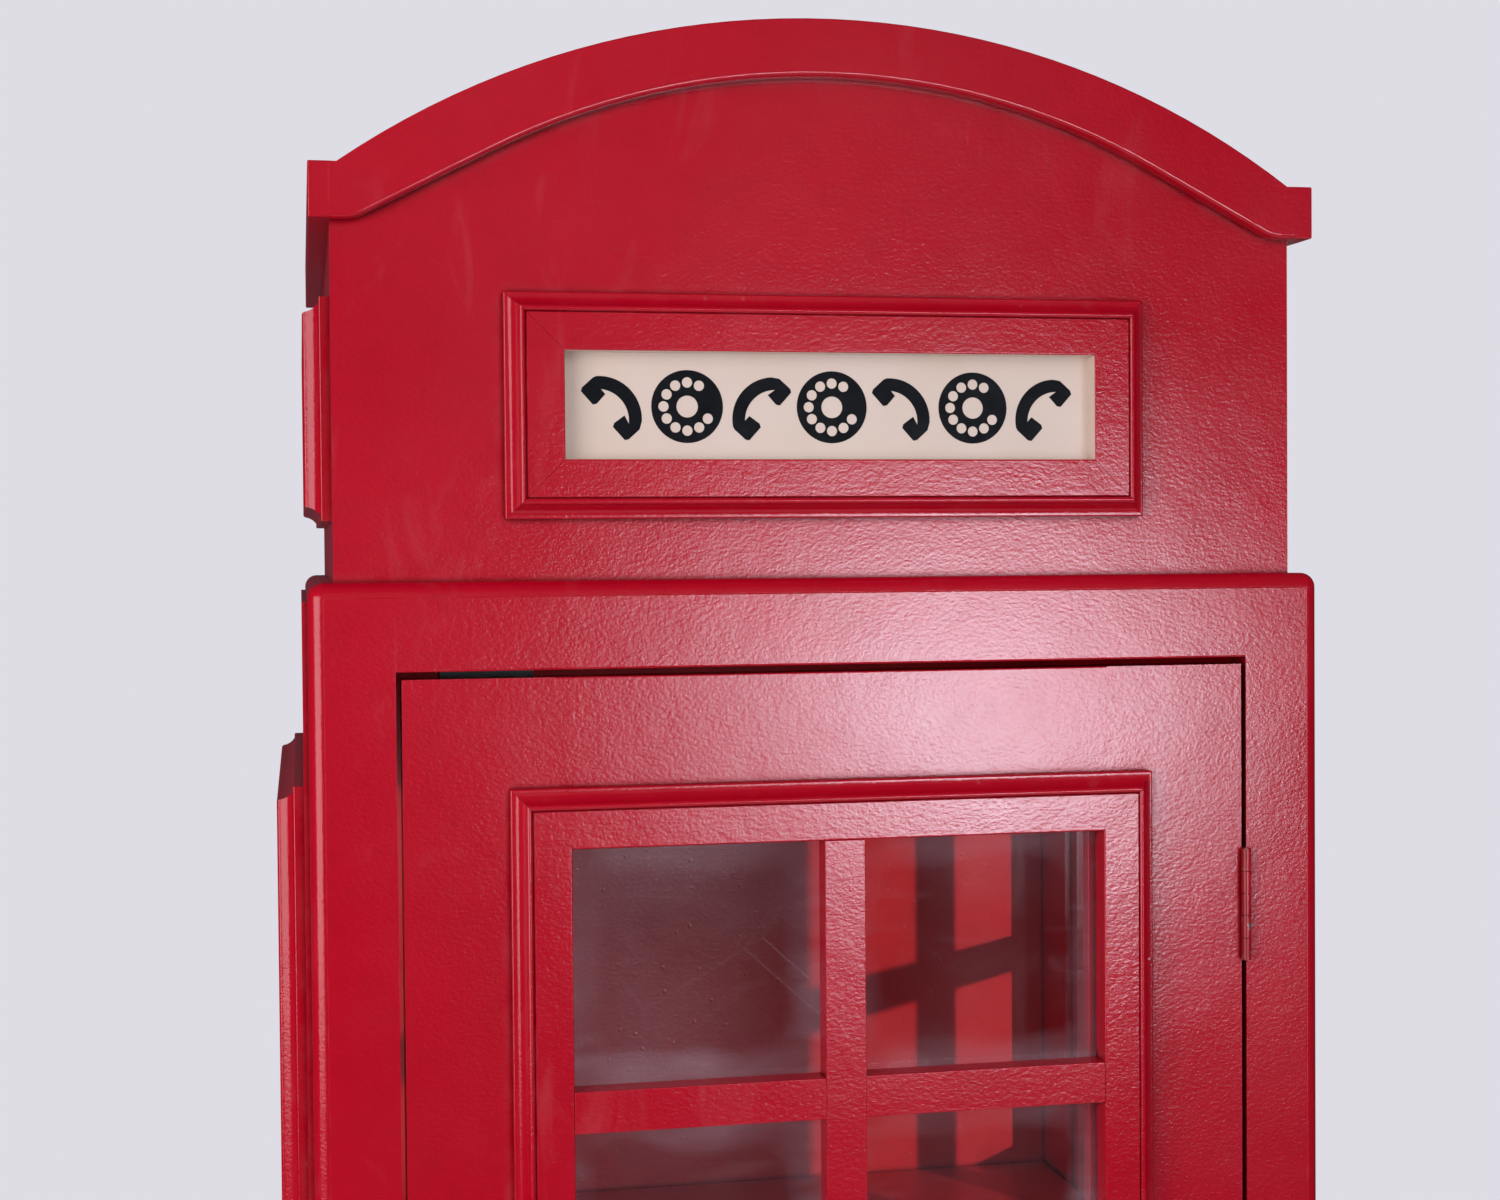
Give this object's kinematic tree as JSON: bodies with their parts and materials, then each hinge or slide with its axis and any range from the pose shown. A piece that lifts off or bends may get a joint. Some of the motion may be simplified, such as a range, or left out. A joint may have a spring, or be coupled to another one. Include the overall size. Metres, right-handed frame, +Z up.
{
  "type": "telephone booth cabinet",
  "caption": "Painted wooden display cabinet in the shape of a telephone booth, with a glazed hinged door, glazed sides, shelves, an arched roof and framed signs.",
  "frame": {"origin": "On the floor, in the middle of the whole object's width and of its depth, the door handle included.", "axes": "+Z up, +X to the right as one faces the door, +Y from the door towards the back."},
  "size_m": [0.5252, 0.41, 1.8002],
  "materials": {
    "red_paint": "satin red paint on wood, with light brush and roller texture",
    "cream_paint": "matt cream paint on thin board, with plain black pictograms",
    "clear_glass": "clear float glass, faintly smeared",
    "painted_hinge": "steel hinge painted over red, worn to bare steel on the knuckles",
    "zinc_steel": "zinc-plated steel",
    "brass_handle": "brushed, slightly tarnished brass",
    "catch_plastic": "brown moulded plastic",
    "glide_plastic": "black nylon glide"
  },
  "bodies": {
    "cabinet": {"plinth_front": "red_paint", "plinth_left": "red_paint", "plinth_right": "red_paint", "foot_glides": "glide_plastic", "bottom_board": "red_paint", "top_board": "red_paint", "back_panel": "red_paint", "left_side_front_stile": "red_paint", "left_side_back_stile": "red_paint", "left_side_top_rail": "red_paint", "left_side_bottom_rail": "red_paint", "right_side_front_stile": "red_paint", "right_side_back_stile": "red_paint", "right_side_top_rail": "red_paint", "right_side_bottom_rail": "red_paint", "face_stile_left": "red_paint", "face_stile_right": "red_paint", "face_top_rail": "red_paint", "face_bottom_rail": "red_paint", "left_window_moulding": "red_paint", "left_window_bars": "red_paint", "right_window_moulding": "red_paint", "right_window_bars": "red_paint", "side_window_glass": "clear_glass", "side_window_beads": "red_paint", "shelf_1": "red_paint", "shelf_2": "red_paint", "shelf_3": "red_paint", "shelf_4": "red_paint", "shelf_pins": "zinc_steel", "head_front_panel": "red_paint", "head_back_panel": "red_paint", "head_left_panel": "red_paint", "head_right_panel": "red_paint", "roof_skin": "red_paint", "arch_rim_front": "red_paint", "rim_board_left": "red_paint", "rim_board_right": "red_paint", "front_sign_moulding": "red_paint", "left_sign_moulding": "red_paint", "right_sign_moulding": "red_paint", "front_sign_plate": "cream_paint", "side_sign_plates": "cream_paint", "magnet_catch": "catch_plastic", "hinge_frame_leaves": "painted_hinge", "hinge_pins": "zinc_steel", "hinge_frame_screws": "zinc_steel"},
    "door": {"door_lock_stile": "red_paint", "door_hinge_stile": "red_paint", "door_top_rail": "red_paint", "door_bottom_rail": "red_paint", "door_moulding": "red_paint", "door_glazing_bars": "red_paint", "door_glass": "clear_glass", "door_glazing_beads": "red_paint", "door_handle": "brass_handle", "handle_screws": "zinc_steel", "catch_plate": "zinc_steel", "hinge_door_leaves": "painted_hinge", "hinge_door_screws": "zinc_steel"}
  },
  "joints": [
    {"name": "door_hinge", "type": "hinge", "parent": "cabinet", "child": "door", "pos_m": [0.2068, -0.1775, 0.81], "axis": [0, 0, 1], "range_deg": [0, 165]}
  ]
}
